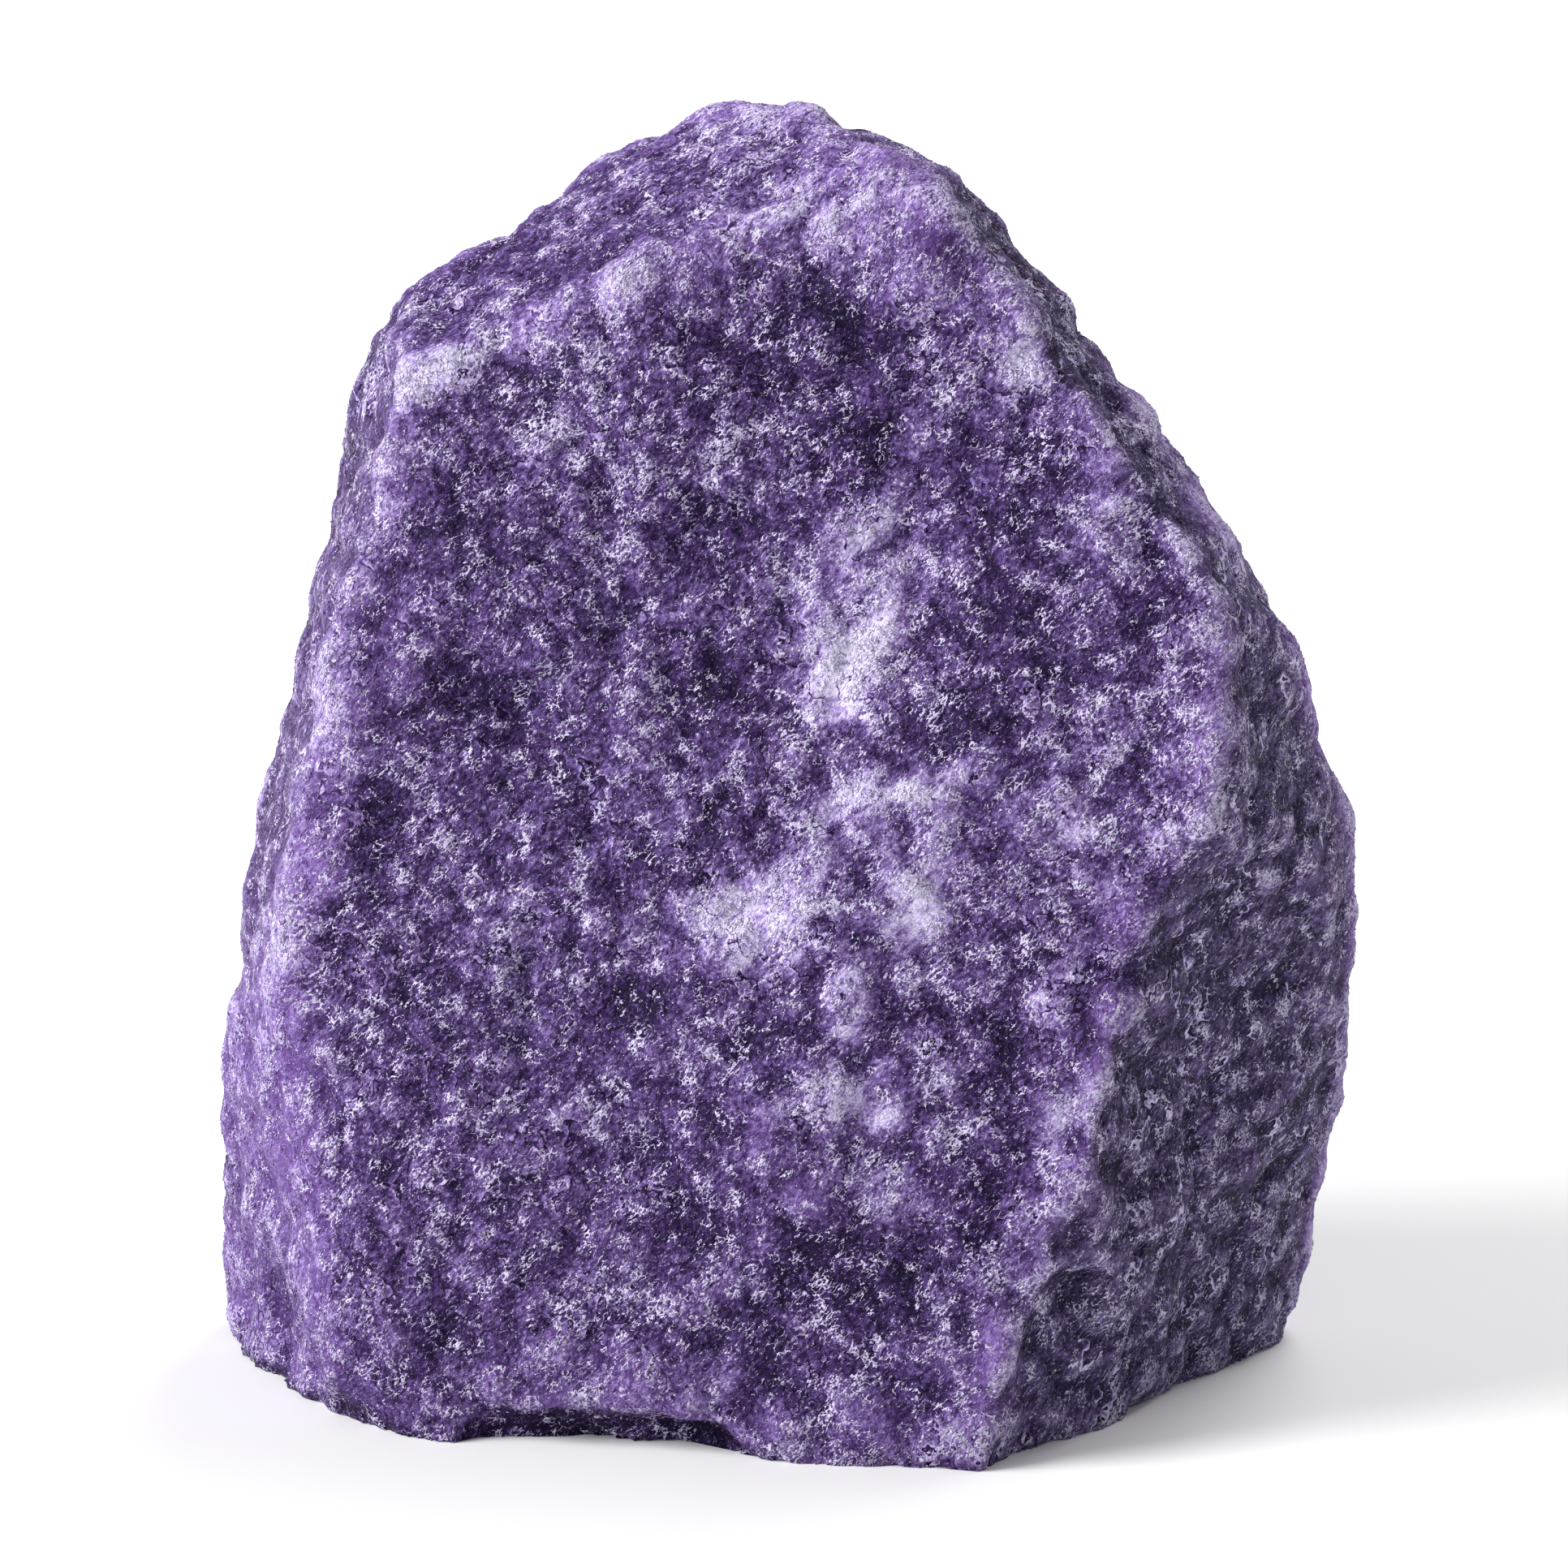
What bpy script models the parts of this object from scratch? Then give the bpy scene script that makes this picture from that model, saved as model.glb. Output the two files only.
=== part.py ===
# Rough lepidolite: one hand-size chunk of fine-grained mica rock, broken on every side.
# Metres, +Z up. The broad bright face looks towards -Y and the stone rests on its flat underside.
#
# A block the size of the stone is scored into a grid, then every point of it slides along the
# line to the stone's heart until it meets the nearest break: a cleavage face or a chipped-out
# dent. Knobs and waviness stand out along the surface's own normals. The fine grid is thinned
# where the stone is flat, and the underside is cut level at z = 0.

import math

import bmesh
import bpy
import numpy as np

# Driving size, from the underside to the summit
HEIGHT = 0.059

# All the lengths below are in millimetres on the stone as found. The whole stone is scaled to
# HEIGHT at the end.

# The block that the stone is broken from, and the squares that score it along X, Y and Z
BLOCK_LOW = (-26, -16, -1)
BLOCK_HIGH = (26, 18, 60)
SQUARES = (96, 66, 112)

# Triangles left after thinning, before the underside is cut
TRIANGLES = 9000

# The heart, from which the faces are measured, stands this high over the underside
HEART_HEIGHT = 28

# Radius of the worn edges between the faces
EDGE_SOFTNESS = 0.35

# A ray this close to running along a face never meets it
GRAZING = 0.01

# Cleavage faces: azimuth and tilt of the way each one looks, in degrees, and its distance from
# the heart. Azimuth 0 is -Y, 90 is +X, 180 is +Y; a positive tilt looks up.
FACES = {
    "front": (-9, 9, 9.4),
    "brow": (5, 46, 24.6),
    "top slope": (-48, 56, 24.9),
    "right shoulder": (70, 37, 23.5),
    "right upper": (57, 0, 22.2),
    "right face": (51, -12, 22.3),
    "left strip": (-78, 15, 22.1),
    "low left": (-42, -13, 26.2),
    "left flank top": (-108, 15, 24),
    "left flank": (-103, 7, 24.6),
    "left side": (-95, -1, 27.05),
    "left heel": (-66, -4, 24.7),
    "summit left": (-115, 54, 27.5),
    "crown": (-150, 67, 30),
    "summit right": (110, 68, 28.7),
    "right back top": (108, 42, 23.8),
    "right back middle": (102, 32, 21.75),
    "right flank": (98, 22, 22.7),
    "right flank low": (94, 10, 25.55),
    "right side": (93, 0, 25.95),
    "right heel": (82, -12, 27.95),
    "right sole": (76, -30, 34),
    "back": (174, 3, 16.2),
    "back high": (190, 25, 18.2),
    "back top": (165, 50, 24.4),
    "back left": (-138, 4, 20.2),
    "back left high": (-132, 31, 23.5),
    "back right": (140, -3, 20),
    "back right high": (134, 28, 21.3),
    "back sole": (168, -32, 26.5),
    "underside": (0, -90, 29),
}

# Dents: place of the centre from the middle of the underside, azimuth and tilt that the dent
# opens to, and its three radii: inwards, sideways and up.
DENTS = {
    "right hollow": ((23.6, -15.2, 18.9), (51, -12), (8.6, 18, 18)),
    "ridge bite": ((16.4, -16, 22.2), (32, 3), (3.9, 5, 3.6)),
    "lower ridge bite": ((13.2, -16.4, 10.8), (36, 0), (2.9, 3.6, 2.7)),
    "toe hollow": ((13.4, -15.9, 0), (54, 0), (4.4, 7.4, 10.5)),
    "front undercut": ((-8.5, -13.7, 0), (-9, -10), (3.2, 7.5, 2.4)),
    "left groove": ((-22.6, 2, 39), (-80, 10), (1.6, 3, 8)),
    "back chip": ((8, 21, 20), (170, 6), (6, 11, 8)),
    "back shoulder chip": ((-15, 17, 41), (-150, 30), (5, 9, 6)),
}

# Knobs: place of the middle, height and radius
KNOBS = {
    "upper right lobe": ((17.3, -5.8, 47.4), 2.4, 2.9),
    "lower right lobe": ((19.9, -7.5, 42), 1, 2.6),
    "summit cap": ((-1.5, 1, 59.5), 0.8, 4),
    "left bump": ((-21.5, -6, 33), 0.6, 4),
}

# Waviness of the broken rock: size of the waves, height and the seed of their pattern
WAVES = ((13, 0.5, 1), (6.5, 0.35, 2), (3.4, 0.18, 3))

# What scrambles a lattice corner and a seed into a repeatable value
HASH_AXES = (12.9898, 78.233, 37.719)
HASH_SEED = 4.1
HASH_SPAN = 43758.5453

# Lepidolite purple
STONE_COLOUR = (0.16, 0.10, 0.25, 1)
STONE_ROUGHNESS = 0.55

SHARP_ANGLE = math.radians(38)

# Points this near the underside's level are put on it before the cut, and the cut's own points
# are merged when they are this near each other
SNAP = 0.25


# Unit vector that looks along an azimuth and a tilt in degrees.
def looking(azimuth, tilt):
    turn = math.radians(azimuth)
    rise = math.radians(tilt)
    return np.array((math.sin(turn) * math.cos(rise), -math.cos(turn) * math.cos(rise), math.sin(rise)))


# Rows of three unit vectors: out of a dent, sideways and up along it.
def dent_frame(azimuth, tilt):
    out = looking(azimuth, tilt)
    side = looking(azimuth + 90, 0)
    return np.array((out, side, np.cross(out, side)))


# How far each ray from the heart goes to each cleavage face.
def reach_of_faces(rays):
    normals = np.array([looking(azimuth, tilt) for azimuth, tilt, _ in FACES.values()])
    distances = np.array([distance for _, _, distance in FACES.values()])
    facing = rays @ normals.T
    return np.where(facing > GRAZING, distances / np.maximum(facing, GRAZING), np.inf)


# How far each ray from the heart goes before it enters each dent, an ellipsoid that stands
# partly outside the stone.
def reach_of_dents(rays):
    columns = []
    for place, (azimuth, tilt), radii in DENTS.values():
        centre = np.array(place) - (0, 0, HEART_HEIGHT)
        frame = dent_frame(azimuth, tilt) / np.array(radii)[:, None]
        ray = rays @ frame.T
        middle = frame @ centre
        length = (ray * ray).sum(axis=1)
        along = ray @ middle
        inside = along**2 - length * (middle @ middle - 1)
        enters = (inside > 0) & (along > 0)
        columns.append(np.where(enters, (along - np.sqrt(np.maximum(inside, 0))) / length, np.inf))
    return np.stack(columns, axis=1)


# The shortest reach along each ray, with the edges between neighbours rounded off.
def soft_shortest(reaches):
    shortest = reaches.min(axis=1)
    crowd = np.exp((shortest[:, None] - reaches) / EDGE_SOFTNESS).sum(axis=1)
    return shortest - EDGE_SOFTNESS * np.log(crowd)


# A repeatable value between -1 and 1 for each corner of a unit lattice.
def corner_value(corners, seed):
    mixed = np.sin(corners @ np.array(HASH_AXES) + seed * HASH_SEED) * HASH_SPAN
    return 2 * (mixed - np.floor(mixed)) - 1


# Smooth noise between -1 and 1: the values at the eight corners around each point, blended.
def smooth_noise(points, seed):
    corner = np.floor(points)
    part = points - corner
    weight = part * part * (3 - 2 * part)
    total = np.zeros(len(points))
    for x in (0, 1):
        for y in (0, 1):
            for z in (0, 1):
                step = np.array((x, y, z))
                share = np.abs(1 - step - weight).prod(axis=1)
                total += share * corner_value(corner + step, seed)
    return total


# Knobs and waviness, as a height over the faces.
def roughness_height(points):
    height = np.zeros(len(points))
    for place, rise, radius in KNOBS.values():
        away = ((points - np.array(place)) ** 2).sum(axis=1)
        height += rise * np.exp(-away / radius**2)
    for size, rise, seed in WAVES:
        height += rise * smooth_noise(points / size, seed)
    return height


# Slides points of the block along the rays to the heart, to the nearest break.
def broken_surface(block_points):
    heart = np.array((0, 0, HEART_HEIGHT))
    rays = block_points - heart
    rays /= np.linalg.norm(rays, axis=1, keepdims=True)
    reach = soft_shortest(np.hstack((reach_of_faces(rays), reach_of_dents(rays))))
    return heart + rays * reach[:, None]


# The starting block: a cube whose edges along each axis are cut into that axis's squares.
def scored_block():
    low = np.array(BLOCK_LOW)
    high = np.array(BLOCK_HIGH)
    bm = bmesh.new()
    bmesh.ops.create_cube(bm, size=1)
    bmesh.ops.scale(bm, verts=bm.verts, vec=high - low)
    bmesh.ops.translate(bm, verts=bm.verts, vec=(low + high) / 2)
    for axis, squares in enumerate(SQUARES):
        along = [edge for edge in bm.edges if edge.verts[0].co[axis] != edge.verts[1].co[axis]]
        bmesh.ops.subdivide_edges(bm, edges=along, cuts=squares - 1, use_grid_fill=True)
    return bm


def move_points(bm, points):
    for vert, point in zip(bm.verts, points):
        vert.co = point
    bm.normal_update()


def points_of(bm):
    return np.array([vert.co[:] for vert in bm.verts])


# A copy of the mesh with about TRIANGLES triangles, few where it is flat and many at its edges.
def thinned(mesh):
    helper = bpy.data.objects.new("thinning", mesh)
    bpy.context.scene.collection.objects.link(helper)
    decimate = helper.modifiers.new("thin", "DECIMATE")
    decimate.ratio = TRIANGLES / (2 * len(mesh.polygons))
    evaluated = helper.evaluated_get(bpy.context.evaluated_depsgraph_get())
    result = bpy.data.meshes.new_from_object(evaluated)
    bpy.data.objects.remove(helper)
    return result


# Cuts off what lies under z = 0 and closes the cut with one level face.
def cut_underside(bm):
    for vert in bm.verts:
        if abs(vert.co.z) < SNAP:
            vert.co.z = 0
    whole = bm.verts[:] + bm.edges[:] + bm.faces[:]
    level = {"plane_co": (0, 0, 0), "plane_no": (0, 0, 1)}
    cut = bmesh.ops.bisect_plane(bm, geom=whole, clear_inner=True, **level)
    corners = [piece for piece in cut["geom_cut"] if isinstance(piece, bmesh.types.BMVert)]
    bmesh.ops.remove_doubles(bm, verts=corners, dist=SNAP)
    bmesh.ops.contextual_create(bm, geom=[edge for edge in bm.edges if edge.is_boundary])
    bmesh.ops.triangulate(bm, faces=bm.faces, ngon_method="BEAUTY")


# Scales the stone to HEIGHT and puts the middle of its underside's box on the origin.
def stand_on_origin(bm):
    points = points_of(bm)
    low = points.min(axis=0)
    high = points.max(axis=0)
    middle = (low + high) / 2
    bmesh.ops.translate(bm, verts=bm.verts, vec=(-middle[0], -middle[1], 0))
    bmesh.ops.scale(bm, verts=bm.verts, vec=np.full(3, HEIGHT / high[2]))


def stone_material():
    material = bpy.data.materials.new("lepidolite")
    material.use_nodes = True
    shader = material.node_tree.nodes["Principled BSDF"]
    shader.inputs["Base Color"].default_value = STONE_COLOUR
    shader.inputs["Roughness"].default_value = STONE_ROUGHNESS
    shader.inputs["Metallic"].default_value = 0
    return material


def build_stone(collection):
    bm = scored_block()
    move_points(bm, broken_surface(points_of(bm)))
    points = points_of(bm)
    normals = np.array([vert.normal[:] for vert in bm.verts])
    move_points(bm, points + normals * roughness_height(points)[:, None])
    fine_mesh = bpy.data.meshes.new("fine stone")
    bm.to_mesh(fine_mesh)
    bm.free()

    bm = bmesh.new()
    bm.from_mesh(thinned(fine_mesh))
    cut_underside(bm)
    stand_on_origin(bm)
    bmesh.ops.recalc_face_normals(bm, faces=bm.faces)
    mesh = bpy.data.meshes.new("rough_stone")
    bm.to_mesh(mesh)
    bm.free()
    mesh.shade_smooth()
    mesh.set_sharp_from_angle(angle=SHARP_ANGLE)
    mesh.materials.append(stone_material())
    collection.objects.link(bpy.data.objects.new("rough_stone", mesh))


def main():
    for old in list(bpy.data.objects):
        bpy.data.objects.remove(old)
    collection = bpy.data.collections.new("rough lepidolite")
    bpy.context.scene.collection.children.link(collection)
    build_stone(collection)


main()
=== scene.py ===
# Rough lepidolite, dressed: the broken skin of the stone with its fine relief, the mica flakes that
# stand on it, their material, the lights, the floor and the camera.
# Lengths in the dictionaries are in millimetres, angles in degrees.

import math

import bpy
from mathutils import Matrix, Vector
import numpy as np


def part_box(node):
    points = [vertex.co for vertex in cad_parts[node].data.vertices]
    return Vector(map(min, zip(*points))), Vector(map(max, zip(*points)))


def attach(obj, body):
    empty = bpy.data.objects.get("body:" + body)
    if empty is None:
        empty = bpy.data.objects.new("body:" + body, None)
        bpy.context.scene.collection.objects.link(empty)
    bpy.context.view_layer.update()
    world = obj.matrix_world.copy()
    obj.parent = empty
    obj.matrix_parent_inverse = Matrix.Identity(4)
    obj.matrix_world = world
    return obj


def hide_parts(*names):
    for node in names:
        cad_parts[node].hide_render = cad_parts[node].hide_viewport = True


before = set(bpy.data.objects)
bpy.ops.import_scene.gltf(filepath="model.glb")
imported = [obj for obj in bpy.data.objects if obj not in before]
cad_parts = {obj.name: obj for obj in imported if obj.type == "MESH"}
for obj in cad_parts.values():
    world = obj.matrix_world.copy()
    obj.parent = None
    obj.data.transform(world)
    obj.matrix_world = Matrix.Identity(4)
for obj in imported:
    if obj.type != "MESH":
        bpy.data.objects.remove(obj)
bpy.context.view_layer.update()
mm = 0.001


# The camera looks straight along +Y and a little down.
view = {
    "target": (0, -1.88, 27.85),
    "distance": 321.8,
    "elevation": 15,
    "lens": 161.15,
    "sensor": 36,
    "nearest": 10,    # nothing nearer is drawn
}

# The stone as it broke. Azimuth 0 looks at the camera, 90 to the right; a positive tilt looks up.
stone = {
    "blockLow": (-24, -10, -1),
    "blockHigh": (24, 16, 60),
    "squares": (150, 68, 166),    # scored along X, Y and Z
    "heartHeight": 28,
    "edgeSoftness": 0.3,
    # azimuth, tilt and distance from the heart of each cleavage face
    "faces": {
        "front": (-9, 9, 9.4),
        "brow": (5, 46, 24.6),
        "top slope": (-48, 56, 24.9),
        "right shoulder": (70, 37, 23.5),
        "right upper": (57, 0, 22.2),
        "right face": (51, -12, 22.3),
        "left strip": (-78, 15, 22.1),
        "low left": (-42, -13, 26.2),
        "left flank top": (-108, 15, 24),
        "left flank": (-103, 7, 24.6),
        "left side": (-95, -1, 27.05),
        "left heel": (-66, -4, 24.7),
        "summit left": (-115, 54, 27.5),
        "crown": (-150, 67, 30),
        "summit right": (110, 68, 28.7),
        "right back top": (108, 42, 23.8),
        "right back middle": (102, 32, 21.75),
        "right flank": (98, 22, 22.7),
        "right flank low": (94, 10, 25.55),
        "right side": (93, 0, 25.95),
        "right heel": (82, -12, 27.95),
        "right sole": (76, -30, 34),
        "back": (174, 3, 16.2),
        "back high": (190, 25, 18.2),
        "back top": (165, 50, 24.4),
        "back left": (-138, 4, 20.2),
        "back left high": (-132, 31, 23.5),
        "back right": (140, -3, 20),
        "back right high": (134, 28, 21.3),
        "back sole": (168, -32, 26.5),
        "underside": (0, -90, 29),
    },
    # centre, azimuth and tilt that the dent opens to, and its radii inwards, sideways and up
    "dents": {
        "right hollow": ((23.6, -15.2, 18.9), (51, -12), (8.6, 18, 18)),
        "ridge bite": ((16.4, -16, 22.2), (32, 3), (3.9, 5, 3.6)),
        "lower ridge bite": ((13.2, -16.4, 10.8), (36, 0), (2.9, 3.6, 2.7)),
        "toe hollow": ((13.4, -15.9, 0), (54, 0), (4.4, 7.4, 10.5)),
        "front undercut": ((-8.5, -13.7, 0), (-9, -10), (3.2, 7.5, 2.4)),
        "left groove": ((-22.6, 2, 39), (-80, 10), (1.6, 3, 8)),
        "back chip": ((8, 21, 20), (170, 6), (6, 11, 8)),
        "back shoulder chip": ((-15, 17, 41), (-150, 30), (5, 9, 6)),
    },
    # place, height and radius
    "knobs": {
        "upper right lobe": ((17.3, -5.8, 47.4), 2.4, 2.9),
        "lower right lobe": ((19.9, -7.5, 42), 1, 2.6),
        "summit cap": ((-1.5, 1, 59.5), 0.8, 4),
        "left bump": ((-21.5, -6, 33), 0.6, 4),
    },
    # places that rolled over softly, their radii, and how many rounds of averaging wore them
    "worn": (((-21.5, -10, 12), (4.5, 7, 11)), ((-20.5, -9, 2), (6, 8, 6))),
    "wear": 160,
    # size of the waves, height and seed
    "waves": ((13, 0.5, 1), (6.5, 0.35, 2), (3.4, 0.18, 3)),
    # faces and dents that are grey, on the right and on the left; the grey is partly their own and partly
    # painted sheen
    "greyRight": (
        "right shoulder", "right upper", "right face", "right hollow", "lower ridge bite", "toe hollow",
    ),
    "greyLeft": ("left strip", "left groove"),
    "greyEase": 2,    # rounds of averaging between grey and violet
    # painted light on the lobes among the grey, which lifts them lilac: place and radius
    "paintedLobeLight": (((16, -4.4, 46.2), 2.1), ((18.8, -6.3, 41.6), 2.2)),
}


# Unit vector of an azimuth a and a tilt t: (sin a cos t, -cos a cos t, sin t).
def looking(azimuth, tilt):
    turn = math.radians(azimuth)
    rise = math.radians(tilt)
    return np.array((math.sin(turn) * math.cos(rise), -math.cos(turn) * math.cos(rise), math.sin(rise)))


# Smooth step: 3t^2 - 2t^3, with t running from 0 at low to 1 at high.
def smoothStep(values, low, high):
    t = np.clip((values - low) / (high - low), 0, 1)
    return t * t * (3 - 2 * t)


hashAxes = np.array((12.9898, 78.233, 37.719))    # directions that mix a lattice corner's numbers
hashSpan = 43758.5453
hashSeed = 4.1


# A repeatable value between -1 and 1 for a lattice corner c: twice the fraction of
# span * sin(c . axes + seed), less 1.
def cornerValue(corners, seed):
    mixed = np.sin(corners @ hashAxes + seed * hashSeed) * hashSpan
    return 2 * (mixed - np.floor(mixed)) - 1


# Value noise between -1 and 1: the eight corners around a point, blended by 3t^2 - 2t^3.
def smoothNoise(points, seed):
    corner = np.floor(points)
    weight = smoothStep(points - corner, 0, 1)
    total = np.zeros(len(points))
    for step in np.ndindex(2, 2, 2):
        share = np.abs(1 - np.array(step) - weight).prod(axis=1)
        total += share * cornerValue(corner + step, seed)
    return total


# Noise over noise: each octave has half the size and half the height of the one before.
def cloudNoise(points, size, seed, octaves=3):
    total = np.zeros(len(points))
    for octave in range(octaves):
        total += smoothNoise(points * 2**octave / size, seed + octave) / 2**octave
    return total


# Reach of a ray r to the face with normal n at distance d: d / (r . n).
def reachOfFaces(rays):
    normals = np.array([looking(azimuth, tilt) for azimuth, tilt, _ in stone["faces"].values()])
    distances = np.array([distance for _, _, distance in stone["faces"].values()])
    facing = rays @ normals.T
    grazing = 0.01
    return np.where(facing > grazing, distances / np.maximum(facing, grazing), np.inf)


# Reach of a ray to the near side of each dent, an ellipsoid: the smaller root of |t r - c| = 1
# in the dent's own scaled frame.
def reachOfDents(rays):
    columns = []
    for place, (azimuth, tilt), radii in stone["dents"].values():
        out = looking(azimuth, tilt)
        side = looking(azimuth + 90, 0)
        scaledFrame = np.array((out, side, np.cross(out, side))) / np.array(radii)[:, None]
        ray = rays @ scaledFrame.T
        middle = scaledFrame @ (np.array(place) - (0, 0, stone["heartHeight"]))
        length = (ray * ray).sum(axis=1)
        along = ray @ middle
        inside = along**2 - length * (middle @ middle - 1)
        enters = (inside > 0) & (along > 0)
        columns.append(np.where(enters, (along - np.sqrt(np.maximum(inside, 0))) / length, np.inf))
    return np.stack(columns, axis=1)


# The scored block's six sides as (u, v) grids, welded along their seams: every lattice corner on
# the block's surface is one point, found by its number (x * ny + y) * nz + z.
def blockGrid():
    counts = stone["squares"]
    squares = []
    for axis in range(3):
        b, c = (axis + 1) % 3, (axis + 2) % 3
        u, v = np.meshgrid(np.arange(counts[b]), np.arange(counts[c]), indexing="ij")
        for level in (0, counts[axis]):
            corners = np.zeros((u.size, 4, 3), int)
            corners[:, :, axis] = level
            corners[:, :, b] = u.reshape(-1, 1) + np.array((0, 1, 1, 0))
            corners[:, :, c] = v.reshape(-1, 1) + np.array((0, 0, 1, 1))
            squares.append(corners if level else corners[:, ::-1])
    squares = np.concatenate(squares)
    span = np.array(counts) + 1
    numbers = (squares[:, :, 0] * span[1] + squares[:, :, 1]) * span[2] + squares[:, :, 2]
    used, quads = np.unique(numbers, return_inverse=True)
    lattice = np.stack((used // (span[1] * span[2]), used // span[2] % span[1], used % span[2]), axis=1)
    low = np.array(stone["blockLow"])
    high = np.array(stone["blockHigh"])
    return low + lattice / np.array(counts) * (high - low), quads.reshape(-1, 4)


# Vertex normals: the sum of the cross products of the diagonals of the squares around a point.
def normalsOf(points, quads):
    corners = points[quads]
    crossed = np.cross(corners[:, 2] - corners[:, 0], corners[:, 3] - corners[:, 1])
    owners = quads.T.ravel()
    columns = [np.bincount(owners, np.tile(crossed[:, axis], 4), len(points)) for axis in range(3)]
    total = np.stack(columns, axis=1)
    return total / np.linalg.norm(total, axis=1, keepdims=True)


# Every side of every square once, its lower point number first.
def edgesOf(quads):
    sides = np.concatenate([quads[:, pair] for pair in ((0, 1), (1, 2), (2, 3), (3, 0))])
    return np.unique(np.sort(sides, axis=1), axis=0)


# Each point moves to the mean of itself and its neighbours' mean, a number of times over.
def spread(values, edges, rounds):
    first, second = edges.T
    count = np.bincount(first, minlength=len(values)) + np.bincount(second, minlength=len(values))
    columns = [column for column in values.reshape(len(values), -1).T]
    for _ in range(rounds):
        for index, column in enumerate(columns):
            total = np.bincount(first, column[second], len(values))
            total += np.bincount(second, column[first], len(values))
            columns[index] = (column + total / count) / 2
    return np.stack(columns, axis=1).reshape(values.shape)


# The broken stone without its fine relief: heart + ray * soft minimum of the reaches, worn round
# in places, then knobs and waves along the normals. Each face's share in the minimum tells which
# points are its own; the grey faces' shares are summed.
def brokenStone():
    points, quads = blockGrid()
    heart = np.array((0, 0, stone["heartHeight"]))
    rays = points - heart
    rays /= np.linalg.norm(rays, axis=1, keepdims=True)
    reaches = np.hstack((reachOfFaces(rays), reachOfDents(rays)))
    shortest = reaches.min(axis=1)
    soft = stone["edgeSoftness"]
    crowd = np.exp((shortest[:, None] - reaches) / soft)
    reach = shortest - soft * np.log(crowd.sum(axis=1))
    points = heart + rays * reach[:, None]
    edges = edgesOf(quads)
    worn = np.zeros(len(points))
    for place, radii in stone["worn"]:
        worn = np.maximum(worn, np.exp(-(((points - place) / radii) ** 2).sum(axis=1) ** 2))
    points += (spread(points, edges, stone["wear"]) - points) * worn[:, None]
    height = np.zeros(len(points))
    for place, rise, radius in stone["knobs"].values():
        height += rise * np.exp(-((points - np.array(place)) ** 2).sum(axis=1) / radius**2)
    for size, rise, seed in stone["waves"]:
        height += rise * smoothNoise(points / size, seed)
    points = points + normalsOf(points, quads) * height[:, None]
    names = [*stone["faces"], *stone["dents"]]
    shares = []
    for side in ("greyRight", "greyLeft"):
        share = crowd[:, np.isin(names, stone[side])].sum(axis=1) / crowd.sum(axis=1)
        shares.append(spread(share, edges, stone["greyEase"]))
    # painted light on the lobes: a bell around each place, which also takes their grey away
    paintedLobeLight = np.zeros(len(points))
    for place, radius in stone["paintedLobeLight"]:
        paintedLobeLight = np.maximum(paintedLobeLight, np.exp(-((points - place) ** 2).sum(axis=1) / radius**2))
    return points, quads, edges, (shares[0] * (1 - paintedLobeLight), shares[1], paintedLobeLight)


# Puts the stone in the frame: the middle of its box on the CAD's, and its summit as high.
def placed(points):
    low, high = np.array(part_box("rough_stone")) / mm
    scale = high[2] / points[:, 2].max()
    middle = (points.min(axis=0) + points.max(axis=0)) / 2 * scale
    shift = (low + high) / 2 - middle
    return points * scale + (shift[0], shift[1], 0), scale


# Draws whatever hangs under the level z = 0 back up to it, along its ray to the heart.
def levelled(points, heartHeight):
    heart = np.array((0, 0, heartHeight))
    share = np.where(points[:, 2] < 0, heartHeight / (heartHeight - points[:, 2]), 1)
    return heart + (points - heart) * share[:, None]


# Relief finer than the solid's: small steps of the cleavage, domed grains that meet in creases,
# and the unevenness of the sugar.
relief = {
    "stepSize": 5.5, "stepHeight": 0.15, "stepCount": 3.5, "stepSeed": 21,
    "stepEdge": 0.75,    # where on a step its edge begins to rise
    "grains": ((2.8, 0.46, 31), (1.4, 0.6, 41)),    # size, height over size, seed
    "grainBend": 0.3,    # how far noise bends the creases, over the size
    "grainSlant": 0.4, "grainLift": 0.12,    # most that one grain leans and stands up, over the size
    "uneven": ((1.6, 0.05, 51), (0.8, 0.05, 52)),    # size, height, seed
    "easing": 1,    # rounds of averaging that take the razor edge off the relief
}


# Domed grains: one seed is scattered in each cube of a lattice, and the height is the largest of
# slant . (point - seed) - (point - seed)^2 / 2 + the seed's own lift, so grains meet in creases.
def domedGrains(points, size, seed):
    bend = np.stack([smoothNoise(points / size, seed + 10 + axis) for axis in range(3)], axis=1)
    scaled = points / size + relief["grainBend"] * bend
    home = np.floor(scaled)
    height = np.full(len(points), -np.inf)
    for step in np.ndindex(3, 3, 3):
        cube = home + step - 1
        own = np.stack([cornerValue(cube, seed + number) for number in range(7)], axis=1)
        away = scaled - cube - 0.5 - 0.5 * own[:, :3]
        slant = relief["grainSlant"] * own[:, 3:6]
        here = (slant * away).sum(axis=1) - (away * away).sum(axis=1) / 2
        height = np.maximum(height, here + relief["grainLift"] * own[:, 6])
    return (height - height.mean()) * size


# Height of the fine relief over the stone's skin: the steps are drift rounded down, with a smooth
# rise to the next, less the drift itself; grains and unevenness are added, and all is averaged.
def fineRelief(points, edges):
    drift = cloudNoise(points, relief["stepSize"], relief["stepSeed"]) * relief["stepCount"]
    ledge = np.floor(drift) + smoothStep(drift - np.floor(drift), relief["stepEdge"], 1) - drift
    height = relief["stepHeight"] * ledge
    for size, rise, seed in relief["grains"]:
        height += rise * domedGrains(points, size, seed)
    for size, rise, seed in relief["uneven"]:
        height += rise * smoothNoise(points / size, seed)
    return spread(height, edges, relief["easing"])


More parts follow.
